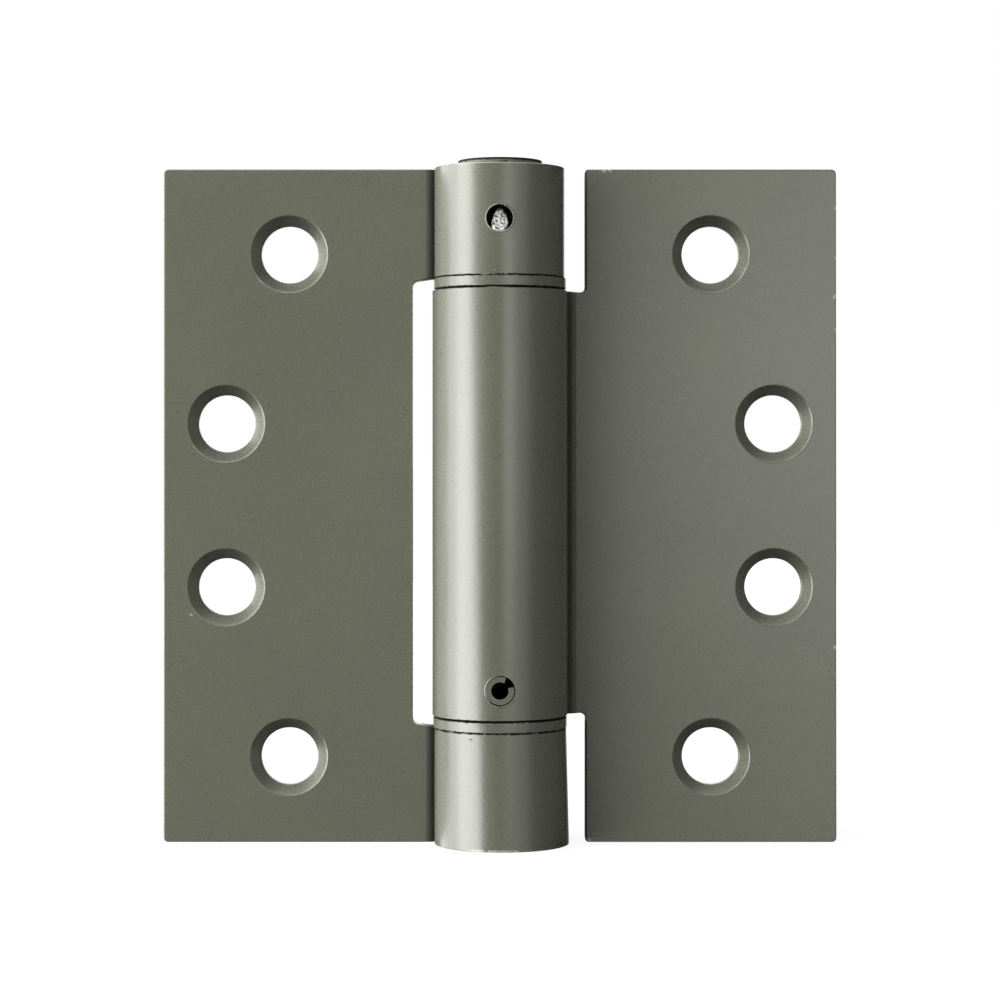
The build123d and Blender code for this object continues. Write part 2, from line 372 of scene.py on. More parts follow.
def rounded(corners, radii, steps=8):
    """An outline with its corners rounded. A radius of 0 leaves a corner sharp."""
    outline = []
    count = len(corners)
    for number, (corner, radius) in enumerate(zip(corners, radii)):
        if radius == 0:
            outline.append(corner)
            continue
        here = Vector(corner)
        before = (Vector(corners[number - 1]) - here).normalized()
        after = (Vector(corners[(number + 1) % count]) - here).normalized()
        half = before.angle(after) / 2
        middle_point = here + (before + after).normalized() * (radius / sin(half))
        first = here + before * (radius / tan(half)) - middle_point
        last = here + after * (radius / tan(half)) - middle_point
        for step in range(steps + 1):
            share = step / steps
            angle = first.angle(last) * share
            turned = first * cos(angle) + (last - first * cos(first.angle(last))) * (
                sin(angle) / sin(first.angle(last))
            )
            outline.append(tuple(middle_point + turned))
    return outline


# Materials
def fill(socket, value):
    """Gives a socket a value, or links another socket to it."""
    if isinstance(value, bpy.types.NodeSocket):
        socket.id_data.links.new(value, socket)
    else:
        socket.default_value = value


def adder(tree):
    """A function that adds a shader node to a tree, with its settings and inputs."""

    def add(kind, settings=(), **inputs):
        node = tree.nodes.new("ShaderNode" + kind)
        for key, value in dict(settings).items():
            setattr(node, key, value)
        for key, value in inputs.items():
            fill(node.inputs[key.replace("_", " ")], value)
        return node

    return add


def graph_of(name):
    """A new node material, its shader, and a function that adds nodes."""
    material = bpy.data.materials.new(name)
    material.use_nodes = True
    tree = material.node_tree
    tree.nodes.clear()
    add = adder(tree)
    shader = add("BsdfPrincipled")
    add("OutputMaterial", Surface=shader.outputs["BSDF"])
    return material, shader, add


def maths(add, operation, *values):
    """The result of a maths node on values or sockets. A third one and more are taken in one by one."""
    node = add("Math", {"operation": operation})
    for socket, value in zip(node.inputs, values[:2]):
        fill(socket, value)
    if len(values) > 2:
        return maths(add, operation, node.outputs["Value"], *values[2:])
    return node.outputs["Value"]


def speckle(add, where, size_mm, detail=2.0, rough=0.5):
    """A noise value with features of about size_mm."""
    noise = add("TexNoise", Vector=where, Scale=1 / (size_mm * MM), Detail=detail, Roughness=rough)
    return noise.outputs["Fac"]


def stretch(add, value, low, high, to_low=0.0, to_high=1.0):
    """Maps a value's range onto another one, clamped."""
    node = add("MapRange", Value=value)
    limits = {"From Min": low, "From Max": high, "To Min": to_low, "To Max": to_high}
    for socket, limit in limits.items():
        node.inputs[socket].default_value = limit
    return node.outputs["Result"]


# Most of a noise value lies between these two
noise_low = 0.3
noise_high = 0.7


def spread(add, noise, low=0.0, high=1.0):
    """Maps the middle part of a noise value from low to high."""
    return stretch(add, noise, noise_low, noise_high, low, high)


def fade(add, value, ends, start=0.0, shares=(0.0, 1.0)):
    """One share before the first end and the other past the second, in millimetres from start."""
    return stretch(add, value, (start + ends[0]) * MM, (start + ends[1]) * MM, *shares)


def axes(add, vector):
    """The three parts of a vector, by the names X, Y and Z."""
    return add("SeparateXYZ", Vector=vector).outputs


def length(add, *parts):
    """The length of a vector, given by its parts."""
    vector = add("CombineXYZ", **dict(zip("XYZ", parts))).outputs["Vector"]
    return add("VectorMath", {"operation": "LENGTH"}, Vector=vector).outputs["Value"]


def away_from(add, value, place_mm):
    """How far a value lies from a place in millimetres, to either side."""
    return maths(add, "ABSOLUTE", maths(add, "SUBTRACT", value, place_mm * MM))


def bumps(add, height, strength, depth_mm, **below):
    """The normal of bumps of this depth. below may name the normal that they lie on."""
    bump = add("Bump", Strength=strength, Distance=depth_mm * MM, Height=height, **below)
    return bump.outputs["Normal"]


def dress(shader, colour, roughness, normal):
    """Links a shader's colour, roughness and normal."""
    for socket, value in (("Base Color", colour), ("Roughness", roughness), ("Normal", normal)):
        fill(shader.inputs[socket], value)


# Places of the colour sockets on a mix node
mix_share, mix_first, mix_second, mix_result = 0, 6, 7, 2


def blend_colour(add, share, first, second):
    """Mixes two colours, given as values or sockets, by a share."""
    node = add("Mix", {"data_type": "RGBA"})
    for number, value in ((mix_share, share), (mix_first, first), (mix_second, second)):
        fill(node.inputs[number], value)
    return node.outputs[mix_result]


def grey(level):
    """A colour without a hue."""
    return (level, level, level, 1)


def shaded(colour, factor):
    """A colour made darker or lighter by a factor."""
    return tuple(channel * factor for channel in colour[:3]) + (1,)


def seam_dirt_and_shade(add, where):
    """1 in the dark joints between knuckles and washers, with ragged edges, and 0 elsewhere. Their width
    takes in painted shade on the rounded edges beside the joints.
    """
    place = axes(add, where)
    ragged = spread(add, speckle(add, where, 0.7), -joint_raggedness * MM, joint_raggedness * MM)
    height = maths(add, "ADD", place["Z"], ragged)
    bands = [fade(add, away_from(add, height, seam), joint_dirt_and_shade_ends, half) for seam, half in dark_joints]
    by_barrel = fade(add, away_from(add, place["X"], 0), joint_side, beyond)
    return maths(add, "MULTIPLY", maths(add, "MAXIMUM", *bands), by_barrel)


def knuckle_hole_shade(add, where):
    """Painted shade on the deep walls of the holes through the knuckles' fronts: 1 there, and 0 elsewhere.
    """
    place = axes(add, where)
    walls = []
    for height, radius in ((pin_hole_z, pin_hole_radius), (pin_middle, roll_pin_radius + roll_pin_fit)):
        from_middle = length(add, place["X"], away_from(add, place["Z"], height))
        walls.append(fade(add, from_middle, hole_shade_reach, radius))
    deep = fade(add, place["Y"], hole_shade_depth, -barrel_radius)
    in_front = maths(add, "LESS_THAN", place["Y"], 0.0)
    return maths(add, "MULTIPLY", maths(add, "MAXIMUM", *walls), deep, in_front)


def groove_shade(add, where):
    """Painted shade where the left leaf meets the barrel: 1 at the groove, fading to 0 on the leaf."""
    leftward = maths(add, "MULTIPLY", axes(add, where)["X"], -1.0)
    fading = fade(add, leftward, groove_shade_ends, barrel_radius, (0.0, groove_share))
    easing = fade(add, leftward, groove_easing, barrel_radius, (groove_share, crevice_share))
    crevice = fade(add, leftward, crevice_shade_ends, barrel_radius)
    outside = maths(add, "GREATER_THAN", leftward, (barrel_radius + crevice_end) * MM)
    shade = maths(add, "MAXIMUM", maths(add, "MINIMUM", fading, easing), crevice)
    return maths(add, "MULTIPLY", shade, outside)


def notch_edge_shade(add, where):
    """Painted shade along the door leaf's edges beside the barrel: 1 there, and 0 elsewhere."""
    place = axes(add, where)
    edge = barrel_radius + door_notch_gap
    foot = centre_end - middle + notch_shade_foot
    near = fade(add, place["X"], notch_shade_ends, edge)
    outside = maths(add, "GREATER_THAN", place["X"], (edge + notch_shade_start) * MM)
    past_knuckle = maths(add, "GREATER_THAN", away_from(add, place["Z"], middle), foot * MM)
    return maths(add, "MULTIPLY", near, outside, past_knuckle)


def hollow_shade(add, where):
    """Painted shade: 1 on the upper walls of the countersinks, which face down away from the light, and 0
    elsewhere.
    """
    facing = axes(add, add("TexCoord").outputs["Normal"])
    upper = stretch(add, facing["Z"], *hollow_facing)
    from_barrel = away_from(add, axes(add, where)["X"], 0)
    on_leaf = maths(add, "GREATER_THAN", from_barrel, (beyond + hollow_side) * MM)
    return maths(add, "MULTIPLY", upper, on_leaf)


def chips_and_edge_light(add, where):
    """1 where the paint is chipped to bright steel; also along the barrel's top rim, worn and painted as a
    highlight, and its bottom edge, worn and painted as a reflection; 0 elsewhere.
    """
    place = axes(add, where)
    from_middle = away_from(add, place["X"], 0)
    noise = speckle(add, where, 0.5)
    ragged = stretch(add, noise, 0.2, 0.8, -chip_raggedness * MM, chip_raggedness * MM)
    spots = []
    for x, z, size in chip_places:
        away = length(add, away_from(add, place["X"], x), away_from(add, place["Z"], z))
        spots.append(fade(add, maths(add, "ADD", away, ragged), (size, 0.7 * size)))
    near_front = fade(add, place["Y"], chip_depth, leaf_setback)
    chipped = maths(add, "MULTIPLY", maths(add, "MAXIMUM", *spots), near_front)
    patchy = stretch(add, speckle(add, where, 1.1), 0.42, 0.52)
    # bottom edge: wear and painted reflection
    foot = fade(add, place["Z"], foot_wear_and_reflection)
    foot = maths(add, "MULTIPLY", foot, fade(add, from_middle, foot_mark_side), patchy)
    # top rim beside the cap: wear and painted highlight
    outer = fade(add, length(add, place["X"], place["Y"]), rim_mark_edge, barrel_radius)
    rim = fade(add, place["Z"], rim_wear_and_highlight, hinge_height)
    rim = maths(add, "MULTIPLY", rim, fade(add, from_middle, rim_mark_side), outer)
    return maths(add, "MAXIMUM", chipped, foot, rim)


def specks(add, where):
    """1 in small dark specks here and there, and 0 elsewhere."""
    place = axes(add, where)
    front = add("CombineXYZ", X=place["X"], Y=place["Z"]).outputs["Vector"]
    cells = add("TexVoronoi", {"voronoi_dimensions": "2D"}, Vector=front, Scale=1 / (speck_pitch * MM))
    spot = stretch(add, cells.outputs["Distance"], *speck_size)
    chosen = add("SeparateColor", Color=cells.outputs["Color"]).outputs["Red"]
    return maths(add, "MULTIPLY", spot, maths(add, "GREATER_THAN", chosen, speck_share))


def prime_coat(name, colour, gritty=1.0, marked=False):
    """Satin grey-olive primer on steel, with fine grit. A marked one has dark joints, chips and specks,
    painted shade in the groove, along the door leaf's edges, in the countersinks and in the holes, and
    painted highlights on the barrel's top rim and bottom edge.
    """
    material, shader, add = graph_of(name)
    where = add("TexCoord").outputs["Object"]
    cloud = speckle(add, where, 32, 3.0, 0.6)
    grit = speckle(add, where, 0.4, 2.0, 0.6)
    fine = speckle(add, where, 0.16, 1.0)
    body = blend_colour(add, spread(add, cloud), shaded(colour, 0.94), shaded(colour, 1.06))
    flecks = spread(add, grit, 0.975, 1.025)
    body = add("VectorMath", {"operation": "SCALE"}, Vector=body, Scale=flecks).outputs["Vector"]
    roughness = spread(add, grit, primer_roughness, primer_roughness + 0.06)
    if marked:
        dirt_and_shade = maths(add, "MAXIMUM", seam_dirt_and_shade(add, where), knuckle_hole_shade(add, where))
        # painted shade in the groove beside the barrel and along the door leaf's edges
        painted_shade = maths(add, "MAXIMUM", groove_shade(add, where), notch_edge_shade(add, where))
        # layers: painted shade, painted shade in the countersinks, chips with painted rim highlights, dark
        # specks, and dark joints with painted shade in the holes
        layers = (
            (painted_shade, 0.85, grey(0.015)),
            (hollow_shade(add, where), 0.7, grey(0.02)),
            (chips_and_edge_light(add, where), 1.0, chip_and_highlight_colour),
            (specks(add, where), 0.75, grey(0.008)),
            (dirt_and_shade, 1.0, grey(0.004)),
        )
        for share, strength, shade in layers:
            body = blend_colour(add, maths(add, "MULTIPLY", share, strength), body, shade)
        dull = stretch(add, painted_shade, 0.0, 1.0, primer_roughness, shade_roughness)
        roughness = maths(add, "MAXIMUM", roughness, dirt_and_shade, dull)
    shader.inputs["IOR"].default_value = 1.8
    coarse = bumps(add, grit, 0.4 * gritty, 0.022)
    dress(shader, body, roughness, bumps(add, fine, 0.2 * gritty, 0.01, Normal=coarse))
    return material


def steel(name, colour, roughness):
    """Bare steel with fine machining marks across Z."""
    material, shader, add = graph_of(name)
    where = add("TexCoord").outputs["Object"]
    marks_per_metre = (200, 200, 9000)
    rows = add("Mapping", Vector=where, Scale=marks_per_metre).outputs["Vector"]
    marks = add("TexNoise", Vector=rows, Scale=1.0, Detail=3.0).outputs["Fac"]
    stain = speckle(add, where, 3.0, 4.0, 0.65)
    stained = blend_colour(add, stretch(add, stain, 0.35, 0.65), shaded(colour, 0.72), colour)
    shader.inputs["Metallic"].default_value = 1.0
    streaks = spread(add, marks, roughness - 0.08, roughness + 0.1)
    dress(shader, stained, streaks, bumps(add, marks, 0.3, 0.01))
    return material


def torn_steel(name):
    """Wall of the tension cap: bright, torn metal between its pin holes, painted black around them as the
    shade in the holes, and darker towards the top as the shade under the knuckle hole's upper wall.
    """
    material, shader, add = graph_of(name)
    where = add("TexCoord").outputs["Object"]
    place = axes(add, where)
    turn = maths(add, "ARCTAN2", place["Y"], place["X"])
    lands = maths(add, "ADD", maths(add, "MULTIPLY", turn, cap_hole_count / 2 / pi), 0.5)
    away = maths(add, "ABSOLUTE", maths(add, "SUBTRACT", maths(add, "FRACT", lands), 0.5))
    pitch = 2 * pi * (bore_radius - cap_fit) / cap_hole_count
    ragged = spread(add, speckle(add, where, 0.5), -0.25, 0.25)
    across = maths(add, "ADD", maths(add, "MULTIPLY", away, pitch), ragged)
    rise = maths(add, "SUBTRACT", place["Z"], (pin_hole_z - pin_hole_radius) * MM)
    tall = maths(add, "DIVIDE", rise, torn_height * MM)
    dome = length(add, tall, maths(add, "DIVIDE", across, torn_half_width))
    bright = stretch(add, dome, 1.06, 0.9)
    mottle = speckle(add, where, 0.42, 2.0, 0.7)
    pits_and_shade = stretch(add, mottle, 0.42, 0.56, 0.04, 1.0)
    # painted shade: the land darkens towards its top, under the knuckle hole's upper wall
    pits_and_shade = maths(add, "MULTIPLY", pits_and_shade, stretch(add, tall, 0.3, 1.0, 1.0, 0.45))
    metal = blend_colour(add, pits_and_shade, grey(0.05), (0.98, 0.97, 0.94, 1))
    faced = maths(add, "MULTIPLY", maths(add, "FLOOR", lands), 2 * pi / cap_hole_count)
    faced = maths(add, "ADD", faced, torn_slant)
    flat = add("CombineXYZ", X=maths(add, "COSINE", faced), Y=maths(add, "SINE", faced))
    settings = {"vector_type": "NORMAL", "convert_from": "OBJECT", "convert_to": "WORLD"}
    turned = add("VectorTransform", settings, Vector=flat.outputs["Vector"]).outputs["Vector"]
    shader.inputs["Metallic"].default_value = 1.0
    # painted shade: black outside the land, for the depth of the cap's pin holes
    colour = blend_colour(add, bright, grey(0.004), metal)
    roughness = stretch(add, bright, 0.0, 1.0, 0.8, 0.3)
    dress(shader, colour, roughness, bumps(add, mottle, 0.9, 0.03, Normal=turned))
    return material


def head_paint_and_painted_light(name, colour):
    """Paint on the cap's head: a light band on its side, worn paint lightened as a painted highlight, with
    painted shade on its rim and at its foot.
    """
    material, shader, add = graph_of(name)
    where = add("TexCoord").outputs["Object"]
    ragged = spread(add, speckle(add, where, 0.6), -0.07 * MM, 0.07 * MM)
    height = maths(add, "ADD", axes(add, where)["Z"], ragged)
    top = cap_top + paint_film
    under_rim = fade(add, height, head_rim_shade, top)
    band = maths(add, "MULTIPLY", under_rim, fade(add, height, head_foot_shade, top))
    facing = axes(add, add("NewGeometry").outputs["Normal"])
    on_top = stretch(add, facing["Z"], 0.9, 0.95)
    # painted shade: the head's side above and below the band is darkened to 0.15 of the primer
    rim = blend_colour(add, on_top, shaded(colour, 0.15), colour)
    patchy = stretch(add, speckle(add, where, 0.9), 0.35, 0.6, 0.55, 1.0)
    # painted highlight: the band is lightened up to 1.7 times the primer, with some worn paint
    light = blend_colour(add, patchy, colour, shaded(colour, 1.7))
    band_or_top = maths(add, "MAXIMUM", band, on_top)
    shader.inputs["IOR"].default_value = 1.5
    shader.inputs["Specular IOR Level"].default_value = 0.3
    lumps = bumps(add, speckle(add, where, 0.5), 0.5, 0.04)
    dress(shader, blend_colour(add, band, rim, light), stretch(add, band_or_top, 0.0, 1.0, 0.85, 0.35), lumps)
    return material


def plastic(name, colour, shine=0.5):
    """Dark moulded bearing plastic, or with less shine the black that is painted into a bore as its shade.
    """
    material, shader, add = graph_of(name)
    where = add("TexCoord").outputs["Object"]
    grain = speckle(add, where, 0.3)
    clouded = blend_colour(add, speckle(add, where, 5), colour, shaded(colour, 1.5))
    shader.inputs["Specular IOR Level"].default_value = shine
    dress(shader, clouded, spread(add, grain, 0.5, 0.62), bumps(add, grain, 0.2, 0.02))
    return material


# Middle height of each dark joint, and half its width
# the half widths reach over the rounded edges, where the dark is painted shade
dark_joints = (
    (upper_joint, 0.17),
    (upper_washer_start - running_joint / 2, 0.25),
    (centre_foot - running_joint / 2, 0.25),
    (lower_joint, 0.19),
)

# Chips on the leaves' edges, as X, Z and size
chip_places = (
    (17.6, 114.1, 0.45),
    (18.6, 114.2, 0.4),
    (15.2, 0.3, 0.35),
    (leaf_edge, 107.6, 0.4),
    (leaf_edge, 99.0, 0.35),
    (leaf_edge, 92.5, 0.45),
    (leaf_edge, 87.0, 0.35),
    (leaf_edge, 33.0, 0.4),
    (leaf_edge, 28.5, 0.35),
    (-52.6, 38.6, 0.3),
)
chip_and_highlight_colour = (0.42, 0.42, 0.38, 1)
primer_colour = (0.126, 0.132, 0.095, 1)
primer_roughness = 0.25
shade_roughness = 0.85
primer = prime_coat("primer", primer_colour, marked=True)
# the beads' paint is 1.3 times lighter than the primer, as a painted highlight
lit_bead_primer = prime_coat("primer_beads_lit", shaded(primer_colour, 1.3), 0.6)
head_primer = head_paint_and_painted_light("primer_on_cap", primer_colour)
# black painted into the roll pin's bore and slot as their shade
pin_bore_shade = plastic("black_shade_in_bore", grey(0.002), 0.05)
bare_steel = steel("turned_steel", (0.56, 0.55, 0.53, 1), 0.36)
torn_wall = torn_steel("torn_steel")
spring_steel = steel("spring_wire", (0.30, 0.30, 0.31, 1), 0.34)
bearing_plastic = plastic("bearing_plastic", (0.02, 0.02, 0.021, 1))
greased_steel = prime_coat("greased_steel", grey(0.012))


# Leaves
def leaf_section(side, radius):
    """Outline of the leaf strip across the barrel: plate, bend, sloping web and rolled knuckle."""
    bore = radius - sheet_thickness
    outer_end = degrees(asin(seam_y / radius)) + 360
    inner_end = degrees(asin(seam_y / bore)) + 360
    bend = (radius + bend_start, leaf_setback + bend_radius)
    reach = sqrt(bend[0] ** 2 + bend[1] ** 2)
    web = degrees(atan2(bend[1], bend[0]) + acos((bore + bend_radius) / reach))
    inner_corner = (radius - leaf_back * sin(radians(web))) / cos(radians(web))
    outline = arc((0, 0), radius, web, outer_end - web, barrel_steps)
    outline += arc((0, 0), bore, inner_end, web - inner_end, barrel_steps)
    outline += arc(bend, bend_radius, 180 + web, 90 - web, bend_steps)
    outline += [(leaf_edge, leaf_setback), (leaf_edge, leaf_back), (inner_corner, leaf_back)]
    return [(side * x, y) for x, y in outline]


def screw_places(side):
    """Middles of a leaf's four screw holes, as X and Z."""
    outer_rise = screw_middle_pitch / 2
    inner_rise = outer_rise + screw_end_pitch
    outer_x = side * (leaf_edge - outer_column_inset)
    inner_x = side * (leaf_edge - inner_column_inset)
    outer = [(outer_x, middle + way * outer_rise) for way in (-1, 1)]
    inner = [(inner_x, middle + way * inner_rise) for way in (-1, 1)]
    return outer + inner


def screw_cutter(place):
    """Cutter for a countersunk hole with softened rims."""
    slope = radians(countersink_angle / 2)
    cone_depth = (countersink_radius - screw_hole_radius) / tan(slope)
    soft = hole_break
    profile = [
        (0, -beyond),
        (countersink_radius + 3 * soft, -beyond),
        (countersink_radius + 3 * soft, -soft),
        (countersink_radius + 1.4 * soft, -0.1 * soft),
        (countersink_radius + 0.55 * soft, 0.12 * soft),
        (countersink_radius, 0.5 * soft),
        (countersink_radius - soft * sin(slope), 0.5 * soft + soft * cos(slope)),
        (screw_hole_radius + soft * sin(slope), cone_depth - soft * cos(slope)),
        (screw_hole_radius + 0.2 * soft, cone_depth),
        (screw_hole_radius, cone_depth + soft),
        (screw_hole_radius, sheet_thickness - soft),
        (screw_hole_radius + 0.3 * soft, sheet_thickness - 0.3 * soft),
        (screw_hole_radius + 2 * soft, sheet_thickness + soft),
        (screw_hole_radius + 2 * soft, beyond),
        (0, beyond),
    ]
    cutter = lathe("screw_cutter", profile, hole_steps)
    turn = Matrix.Rotation(radians(-90), 4, "X")
    shift = Matrix.Translation((place[0], leaf_setback, place[1]))
    return move(cutter, shift @ turn)


def cross_cutter(radius, height, front, back, steps=64):
    """Cutter for a round hole along Y through the barrel's axis."""
    cutter = lathe("cross_cutter", [(0, front), (radius, front), (radius, back), (0, back)], steps)
    turn = Matrix.Rotation(radians(-90), 4, "X")
    return move(cutter, Matrix.Translation((0, 0, height)) @ turn)


def leaf_blank(name, side, radius):
    """The whole strip with the leaf's free corners rounded."""
    blank = upright_prism(name, leaf_section(side, radius), 0, hinge_height)
    inner = -side * beyond
    outer = side * leaf_edge
    corners = [(inner, 0), (outer, 0), (outer, hinge_height), (inner, hinge_height)]
    free_corners = rounded(corners, (0, corner_radius, corner_radius, 0))
    trim = through_prism("trim", free_corners, -2 * beyond, 2 * beyond)
    return carve(blank, [trim], "INTERSECT")


def frame_leaf():
    """Left leaf with the top and bottom knuckles."""
    notch_edge = -(barrel_radius + frame_notch_gap)
    foot = -(barrel_radius + shoulder_gap)
    corners = [
        (notch_edge, bottom_knuckle_end + frame_shoulder),
        (foot, bottom_knuckle_end),
        (beyond, bottom_knuckle_end),
        (beyond, top_knuckle_start),
        (foot, top_knuckle_start),
        (notch_edge, top_knuckle_start - frame_shoulder),
    ]
    radii = (notch_corner_radius, 0, 0, 0, 0, notch_corner_radius)
    gap = through_prism("gap", rounded(corners, radii), -beyond, beyond)
    leaf = carve(leaf_blank("frame_leaf_sheet", -1, barrel_radius), [gap])
    break_edges(leaf, leaf_edge_width)
    cutters = [screw_cutter(place) for place in screw_places(-1)]
    cutters.append(cross_cutter(pin_hole_radius, pin_hole_z, -beyond, 0))
    carve(leaf, cutters)
    shape_rolls(leaf)
    return finish_piece(leaf, "frame_leaf", ["frame_leaf"], [primer])


def shape_rolls(leaf):
    """Makes the top knuckle a little tighter, and the bottom one wider and flared at its lower end."""
    for vertex in leaf.data.vertices:
        point = vertex.co
        swell = top_roll_swell
        if point.z < middle:
            swell = bottom_roll_swell + roll_flare * exp(-point.z / flare_height)
        if point.x > -barrel_radius:
            point.x += swell * (point.x + barrel_radius) / (2 * barrel_radius)


def door_notch(knuckle_end, away):
    """Cutter for the room past one end of the centre knuckle."""
    edge = barrel_radius + door_notch_gap
    foot = centre_radius + shoulder_gap
    outside = knuckle_end + away * hinge_height
    leaf_end = hinge_height if away > 0 else 0
    corner = (edge + door_corner_radius, leaf_end - away * door_corner_radius)
    corners = [
        (edge, corner[1]),
        (edge, knuckle_end - away * door_shoulder),
        (foot, knuckle_end),
        (-beyond, knuckle_end),
        (-beyond, outside),
        (corner[0], outside),
    ]
    outline = rounded(corners, (0, notch_corner_radius, 0, 0, 0, 0))
    outline += arc(corner, door_corner_radius, away * 90, away * 90, 8)[:-1]
    return through_prism("notch", outline, -beyond, beyond)


def door_leaf():
    """Right leaf with the centre knuckle."""
    notches = [door_notch(centre_foot, -1), door_notch(centre_end, 1)]
    leaf = carve(leaf_blank("door_leaf_sheet", 1, centre_radius), notches)
    break_edges(leaf, leaf_edge_width)
    cutters = [screw_cutter(place) for place in screw_places(1)]
    cutters.append(cross_cutter(roll_pin_radius + roll_pin_fit, pin_middle, -beyond, 0))
    carve(leaf, cutters)
    return finish_piece(leaf, "door_leaf", ["door_leaf"], [primer])


# Turned pieces
def thrust_washer(node, start):
    """A washer with softened rims."""
    inner = journal_radius + washer_bore_gap
    radius = barrel_radius + washer_coats[node]
    soft = turned_break
    end = start + washer_thickness
    profile = [
        (inner, start),
        (radius - soft, start),
        (radius - 0.3 * soft, start + 0.3 * soft),
        (radius, start + soft),
        (radius, end - soft),
        (radius - 0.3 * soft, end - 0.3 * soft),
        (radius - soft, end),
        (inner, end),
    ]
    washer = lathe(node + "_ring", profile, barrel_steps, closed=True)
    return finish_piece(washer, "frame_leaf", [node], [primer])


def tension_cap():
    """Cap with hexagon socket, ring of pin holes, journal and slotted spigot."""
    cap_radius = bore_radius - cap_fit
    shoulder = cap_foot + spigot_length
    seat = upper_washer_start + washer_thickness + cap_lift
    head_foot = hinge_height - cap_head_sunk
    head_radius = cap_head_radius + paint_film
    head_top = cap_top + paint_film
    profile = [
        (0, cap_foot),
        (spigot_radius, cap_foot),
        (spigot_radius, shoulder),
        (journal_radius, shoulder),
        (journal_radius, seat),
        (cap_radius, seat),
        (cap_radius, head_foot),
        (head_radius, head_foot),
        (head_radius, head_top - cap_chamfer),
        (head_radius - 0.12 * cap_chamfer, head_top - 0.6 * cap_chamfer),
        (head_radius - 0.5 * cap_chamfer, head_top - 0.15 * cap_chamfer),
        (head_radius - cap_chamfer, head_top),
        (0, head_top),
    ]
    cap = lathe("tension_cap_body", profile, barrel_steps)
    for face in cap.data.polygons:
        height = face.center.z
        if height > head_foot:
            face.material_index = 1
        elif height > seat:
            face.material_index = 2
    finishes = [bare_steel, head_primer, torn_wall]
    for finish in finishes:
        cap.data.materials.append(finish)
    cutters = []
    for number in range(cap_hole_count):
        angle = 360 / cap_hole_count * (number + 0.5) - 90
        hole_end = cap_radius - cap_hole_depth
        drill = [(0, hole_end), (cap_hole_radius, hole_end), (cap_hole_radius, beyond), (0, beyond)]
        cutter = lathe("drill", drill, drill_steps)
        turn = Matrix.Rotation(radians(angle), 4, "Z") @ Matrix.Rotation(radians(90), 4, "Y")
        cutters.append(move(cutter, Matrix.Translation((0, 0, pin_hole_z + cap_lift)) @ turn))
    corner = socket_across_flats / sqrt(3)
    hexagon = [(corner * cos(radians(60 * side)), corner * sin(radians(60 * side))) for side in range(6)]
    cutters.append(upright_prism("socket", hexagon, cap_top - socket_depth, cap_top + overcut))
    half = wire_thickness / 2 + slot_side_gap
    slot = [(-beyond, -half), (beyond, -half), (beyond, half), (-beyond, half)]
    cutters.append(upright_prism("slot", slot, cap_foot - overcut, shoulder))
    carve(cap, cutters)
    return finish_piece(cap, "tension_cap", ["tension_cap"], finishes)


def roll_pin():
    """Rolled tube with a slot along it."""
    inner = roll_pin_radius - roll_pin_wall
    half_outer = degrees(asin(roll_pin_slot / 2 / roll_pin_radius))
    half_inner = degrees(asin(roll_pin_neck / 2 / inner))
    start = roll_pin_slot_angle
    axis = (0, pin_middle)
    outline = arc(axis, roll_pin_radius, start + half_outer, 360 - 2 * half_outer, pin_steps)
    outline += arc(axis, inner, start - half_inner, 2 * half_inner - 360, pin_bore_steps)
    pin = through_prism("roll_pin_tube", outline, pin_front, pin_end)
    break_edges(pin, lambda point: turned_break)
    wall_limit = 0.3  # a face that looks more along Y than this is an end
    # the walls of the bore and the slot take the black that is painted there as their shade
    for face in pin.data.polygons:
        from_axis = Vector((face.center.x, face.center.z - pin_middle)).length
        if abs(face.normal.y) < wall_limit and from_axis < roll_pin_radius - 2 * turned_break:
            face.material_index = 1
    return finish_piece(pin, "door_leaf", ["roll_pin"], [primer, pin_bore_shade])


# Paint beads, which bridge the still joints and ring the holes
def bead(shape, path, radius, closed=False, sides=8):
    """Adds a bead of paint along a path to a bmesh. It thins out at both ends, or closes on itself."""
    count = len(path)
    rings = []
    for number, point in enumerate(path):
        before = path[number - 1] if closed or number else point
        after = path[(number + 1) % count] if closed or number < count - 1 else point
        along = (Vector(after) - Vector(before)).normalized()
        side = along.cross(Vector(point).cross(Vector((0, 0, 1))).cross(along)).normalized()
        up = side.cross(along)
        share = 2 * number / (count - 1) - 1
        reach = radius if closed else radius * max(bead_end, sqrt(1 - share**2))
        turns = [2 * pi * step / sides for step in range(sides)]
        ring = [Vector(point) + (side * cos(turn) + up * sin(turn)) * reach for turn in turns]
        rings.append([shape.verts.new(corner) for corner in ring])
    pairs = list(zip(rings, rings[1:]))
    if closed:
        pairs.append((rings[-1], rings[0]))
    else:
        shape.faces.new(rings[0])
        shape.faces.new(rings[-1])
    for low, high in pairs:
        for step in range(sides):
            after = (step + 1) % sides
            shape.faces.new((low[step], low[after], high[after], high[step]))


def on_barrel(x, z, radius):
    """Point on the front of the barrel."""
    return (x, -sqrt(radius**2 - x**2), z)


def smear(shape, start, end, height, thickness, radius):
    """A bead along the front of the barrel, from one X to another."""
    steps = max(least_bead_steps, int(abs(end - start) / bead_step))
    places = [start + (end - start) * step / steps for step in range(steps + 1)]
    bead(shape, [on_barrel(x, height, radius) for x in places], thickness)


def smears(shape, rows):
    """Beads by rows: their ends in X, their height, thickness and distance from the barrel's axis."""
    for spans, height, thickness, radius in rows:
        for start, end in spans:
            smear(shape, start, end, height, thickness, radius)


